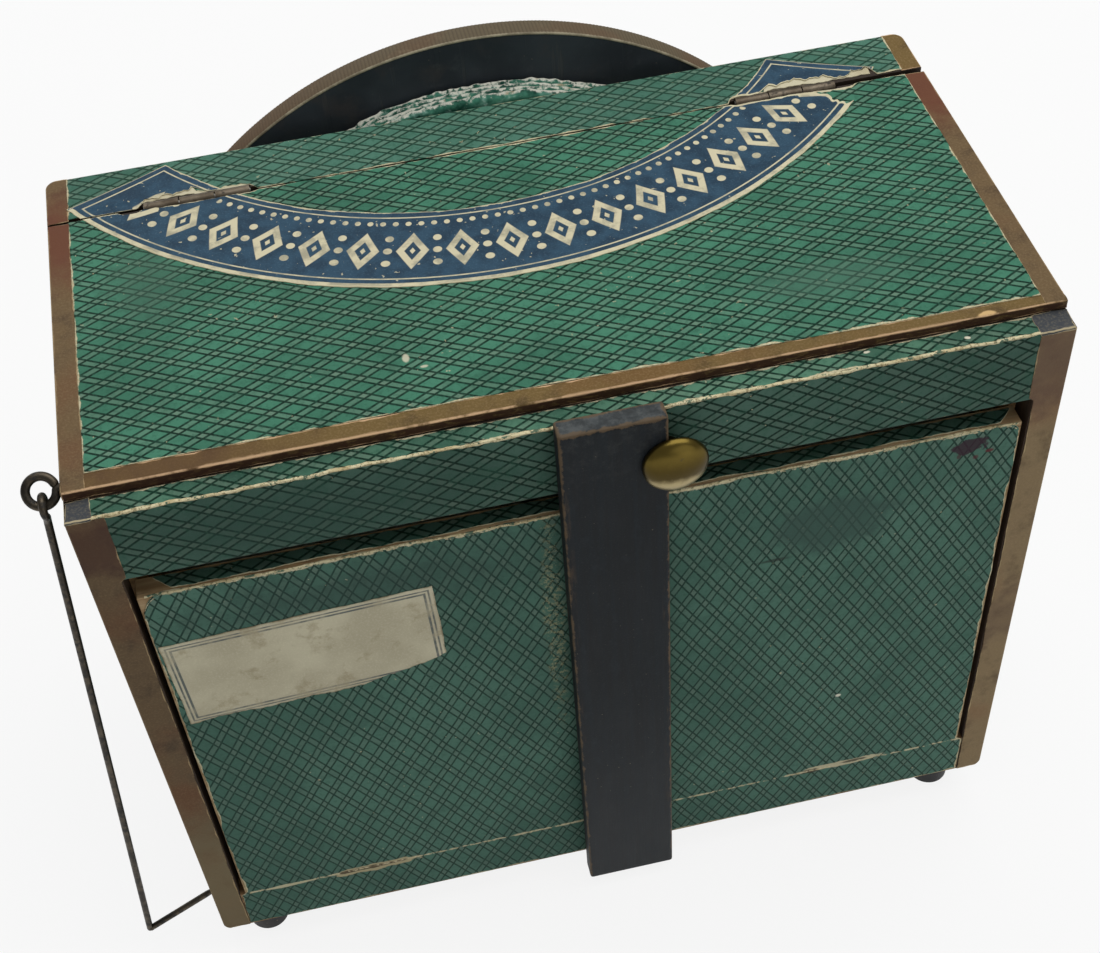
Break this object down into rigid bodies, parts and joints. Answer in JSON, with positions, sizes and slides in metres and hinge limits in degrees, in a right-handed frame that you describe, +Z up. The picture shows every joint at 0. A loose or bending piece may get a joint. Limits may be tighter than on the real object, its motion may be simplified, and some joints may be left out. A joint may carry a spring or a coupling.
{
  "type": "polyorama viewing box",
  "caption": "Papered wooden viewing box with a hinged lid, fold-down rear flap, locking bar, link rod and a lens board on paper bellows, for looking at translucent prints.",
  "frame": {"origin": "the middle of the case's underside, above the feet", "axes": "+Z up, +Y from the rear flap towards the lens board, +X to the right seen from behind"},
  "size_m": [0.2422, 0.1456, 0.1981],
  "materials": {
    "papered_wood": "wood faced with green double-line check paper",
    "side_wood": "papered wood, edges bound in brown paper",
    "bare_wood": "plain planed softwood",
    "view_paper": "tinted translucent paper",
    "black_wood": "blackened turned wood, crazed",
    "bar_wood": "blackened wood, worn brown at the edges",
    "hinge_iron": "dull pressed metal",
    "steel": "dull steel",
    "card": "pale card",
    "pleated_paper": "green paper, folds worn to cream",
    "hinge_paper": "green check paper",
    "band_paper": "brown ribbed paper band",
    "dark_wire": "wire with a dark patina",
    "brass": "old polished brass",
    "glass": "clear ground glass"
  },
  "bodies": {
    "case": {"left_side_panel": "side_wood", "right_side_panel": "side_wood", "bottom_board": "bare_wood", "front_panel": "papered_wood", "top_strip": "papered_wood", "back_top_rail": "papered_wood", "back_bottom_rail": "papered_wood", "view_runners": "bare_wood", "view_frame": "bare_wood", "view_sheet": "view_paper", "feet": "black_wood", "foot_screws": "steel", "hinge_fixed_leaves": "hinge_iron", "hinge_pins": "steel", "hinge_fixed_tacks": "steel", "bellows_rear_ring": "card", "bellows": "pleated_paper", "flap_paper_hinge": "hinge_paper", "bar_bracket": "hinge_iron", "bracket_screws": "steel"},
    "lid": {"lid_panel": "papered_wood", "lid_lining": "card", "hinge_lid_leaves": "hinge_iron", "hinge_lid_tacks": "steel", "lid_screw_eye": "dark_wire"},
    "rod": {"link_rod": "dark_wire"},
    "flap": {"flap_panel": "papered_wood"},
    "bar": {"locking_bar": "bar_wood", "bar_pivot_pin": "steel", "latch_stud": "brass"},
    "lens_front": {"bellows_front_ring": "card", "lens_board": "black_wood", "rim_band": "band_paper", "lens_cell": "black_wood", "lens": "glass", "lens_ring": "brass", "cell_screws": "brass"}
  },
  "joints": [
    {"name": "lid_hinge", "type": "hinge", "parent": "case", "child": "lid", "pos_m": [0, 0.0407, 0.1709], "axis": [-1, 0, 0], "range_deg": [0, 105]},
    {"name": "rod_swing", "type": "hinge", "parent": "lid", "child": "rod", "pos_m": [-0.1143, -0.04986, 0.16799], "axis": [1, 0, 0], "range_deg": [-60, 105]},
    {"name": "flap_fold", "type": "hinge", "parent": "case", "child": "flap", "pos_m": [0, -0.057, 0.01575], "axis": [1, 0, 0], "range_deg": [0, 90], "deforming": ["flap_paper_hinge"]},
    {"name": "bar_drop", "type": "hinge", "parent": "case", "child": "bar", "pos_m": [0.0047, -0.0591, -0.003], "axis": [1, 0, 0], "range_deg": [0, 90]},
    {"name": "lens_board_slide", "type": "slide", "parent": "case", "child": "lens_front", "axis": [0, 1, 0], "range_m": [0, 0.085], "deforming": ["bellows"]}
  ],
  "couplings": [
    {"joint": "bar_drop", "follows": "flap_fold", "ratio": 1}
  ]
}
